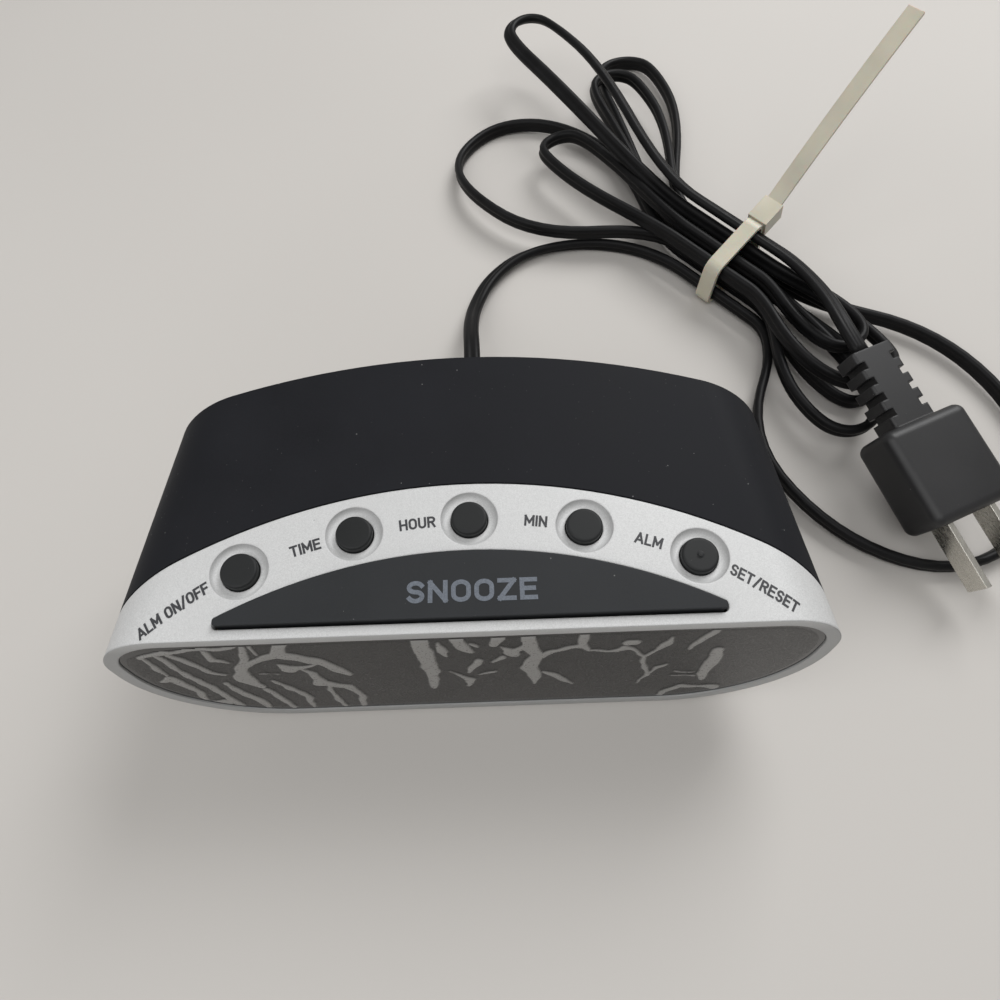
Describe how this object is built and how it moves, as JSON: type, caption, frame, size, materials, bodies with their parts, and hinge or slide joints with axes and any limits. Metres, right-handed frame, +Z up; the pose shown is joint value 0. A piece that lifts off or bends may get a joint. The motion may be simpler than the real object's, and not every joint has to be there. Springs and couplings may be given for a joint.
{
  "type": "digital alarm clock",
  "caption": "Mains digital alarm clock with a leaning lens face, silver control panel, round push buttons, crescent snooze bar, rear shell and a tied cord with its plug.",
  "frame": {"origin": "on the surface that the clock stands on, under the middle of the housing", "axes": "+X along the clock's width to the right of a user, +Y from the face to the rear, +Z up"},
  "size_m": [0.232, 0.2422, 0.0605],
  "materials": {
    "shell": "fine matte grain",
    "silver_paint": "fine metallic silver paint",
    "lens": "smoked, polished",
    "film": "clear cling film with trapped air",
    "key_cap": "satin",
    "snooze_cap": "fine matte grain",
    "switch_plunger": "moulded",
    "switch_body": "moulded",
    "circuit_board": "pressed board",
    "screw_steel": "zinc plated",
    "display_block": "moulded",
    "segment": "unlit diffuser",
    "chip": "moulded",
    "crystal_can": "drawn can",
    "buzzer": "moulded",
    "capacitor_can": "sleeved can",
    "core_steel": "varnished laminations",
    "coil_tape": "taped winding",
    "bracket_steel": "plated sheet",
    "lead_wire": "insulated wire",
    "ribbon": "flat ribbon",
    "cell_can": "plain can",
    "foot_rubber": "matte",
    "cord_sheath": "satin sheath",
    "blade": "nickel plated",
    "tie_nylon": "natural nylon"
  },
  "bodies": {
    "case": {"rear_shell": "shell", "front_bezel": "silver_paint", "display_lens": "lens", "lens_film": "film", "key_switches": "switch_body", "key_board": "circuit_board", "main_board": "circuit_board", "key_board_screws": "screw_steel", "main_board_screws": "screw_steel", "case_screws": "screw_steel", "transformer_screws": "screw_steel", "led_display": "display_block", "led_segments": "segment", "clock_chip": "chip", "diodes": "chip", "crystal": "crystal_can", "alarm_buzzer": "buzzer", "capacitors": "capacitor_can", "transformer_core": "core_steel", "transformer_coil": "coil_tape", "transformer_bracket": "bracket_steel", "battery_contacts": "bracket_steel", "transformer_leads": "lead_wire", "mains_leads": "lead_wire", "ribbon_cable": "ribbon", "backup_cells": "cell_can", "rubber_feet": "foot_rubber", "strain_relief": "cord_sheath", "cord_lead": "cord_sheath", "cord_hank": "cord_sheath", "cord_tail": "cord_sheath", "plug_body": "cord_sheath", "plug_blades": "blade", "cable_tie": "tie_nylon"},
    "snooze": {"snooze_bar": "snooze_cap", "snooze_plungers": "switch_plunger"},
    "door": {"battery_door": "shell"},
    "alarm_switch_key": {"alarm_switch_button": "key_cap", "alarm_switch_plunger": "switch_plunger"},
    "time_key": {"time_button": "key_cap", "time_plunger": "switch_plunger"},
    "hour_key": {"hour_button": "key_cap", "hour_plunger": "switch_plunger"},
    "minute_key": {"minute_button": "key_cap", "minute_plunger": "switch_plunger"},
    "alarm_set_key": {"alarm_set_button": "key_cap", "alarm_set_plunger": "switch_plunger"}
  },
  "joints": [
    {"name": "alarm_switch_press", "type": "slide", "parent": "case", "child": "alarm_switch_key", "axis": [0, 0, -1], "range_m": [0, 0.0007], "stiffness_N_per_m": 800},
    {"name": "time_press", "type": "slide", "parent": "case", "child": "time_key", "axis": [0, 0, -1], "range_m": [0, 0.0007], "stiffness_N_per_m": 800},
    {"name": "hour_press", "type": "slide", "parent": "case", "child": "hour_key", "axis": [0, 0, -1], "range_m": [0, 0.0007], "stiffness_N_per_m": 800},
    {"name": "minute_press", "type": "slide", "parent": "case", "child": "minute_key", "axis": [0, 0, -1], "range_m": [0, 0.0007], "stiffness_N_per_m": 800},
    {"name": "alarm_set_press", "type": "slide", "parent": "case", "child": "alarm_set_key", "axis": [0, 0, -1], "range_m": [0, 0.0007], "stiffness_N_per_m": 800},
    {"name": "snooze_press", "type": "slide", "parent": "case", "child": "snooze", "axis": [0, 0, -1], "range_m": [0, 0.001], "stiffness_N_per_m": 900},
    {"name": "door_slide", "type": "slide", "parent": "case", "child": "door", "axis": [0, 1, 0], "range_m": [0, 0.048]}
  ]
}
